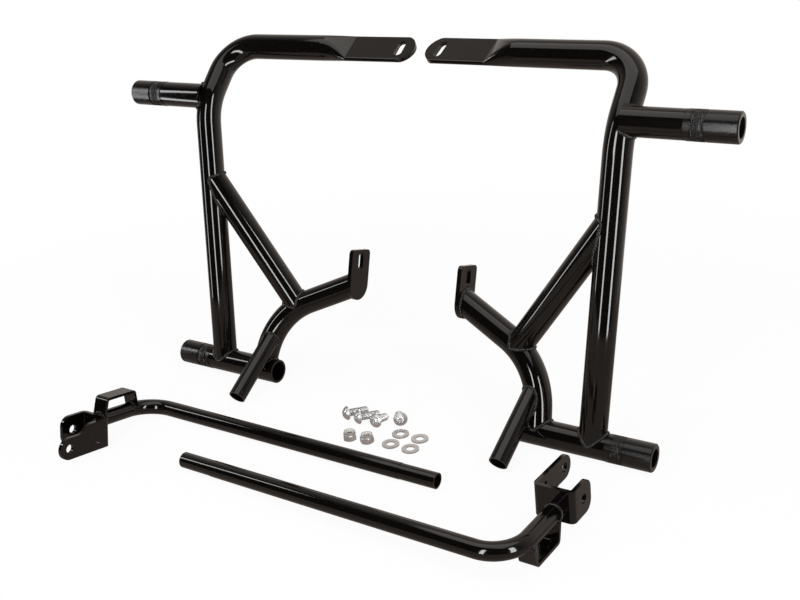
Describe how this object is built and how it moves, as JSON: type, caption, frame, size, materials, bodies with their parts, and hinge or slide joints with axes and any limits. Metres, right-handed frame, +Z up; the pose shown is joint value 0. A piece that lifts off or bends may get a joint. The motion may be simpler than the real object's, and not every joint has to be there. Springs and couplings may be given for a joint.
{
  "type": "motorcycle crash bar set",
  "caption": "Mirrored pair of welded tubular motorcycle crash bars with sleeved peg tubes, bent stay rods and loose fasteners.",
  "frame": {"origin": "middle of the set's base on the table it lies on", "axes": "+X from the left bar to the right bar, +Y away from the viewer, +Z up"},
  "size_m": [0.809, 0.4404, 0.4451],
  "materials": {
    "tube_black": "gloss",
    "bracket_black": "gloss",
    "sleeve_black": "satin",
    "zinc_steel": "satin",
    "nylon": "matte"
  },
  "bodies": {
    "root": {"hoop_tube_left": "tube_black", "hoop_tube_right": "tube_black", "upper_peg_tube_left": "tube_black", "upper_peg_tube_right": "tube_black", "upper_peg_sleeve_left": "sleeve_black", "upper_peg_sleeve_right": "sleeve_black", "lower_tube_left": "tube_black", "lower_tube_right": "tube_black", "lower_sleeve_left": "sleeve_black", "lower_sleeve_right": "sleeve_black", "brace_tube_left": "tube_black", "brace_tube_right": "tube_black", "flange_tube_left": "tube_black", "flange_tube_right": "tube_black", "flange_plate_left": "bracket_black", "flange_plate_right": "bracket_black", "strut_socket_left": "tube_black", "strut_socket_right": "tube_black", "strut_tube_left": "tube_black", "strut_tube_right": "tube_black", "clevis_left": "bracket_black", "clevis_right": "bracket_black", "strut_loop_left": "bracket_black", "strut_loop_right": "bracket_black", "bolt_1": "zinc_steel", "bolt_2": "zinc_steel", "bolt_3": "zinc_steel", "bolt_4": "zinc_steel", "nut_1": "zinc_steel", "nut_2": "zinc_steel", "nut_insert_1": "nylon", "nut_insert_2": "nylon", "washer_1": "zinc_steel", "washer_2": "zinc_steel", "washer_3": "zinc_steel", "washer_4": "zinc_steel"}
  },
  "joints": []
}
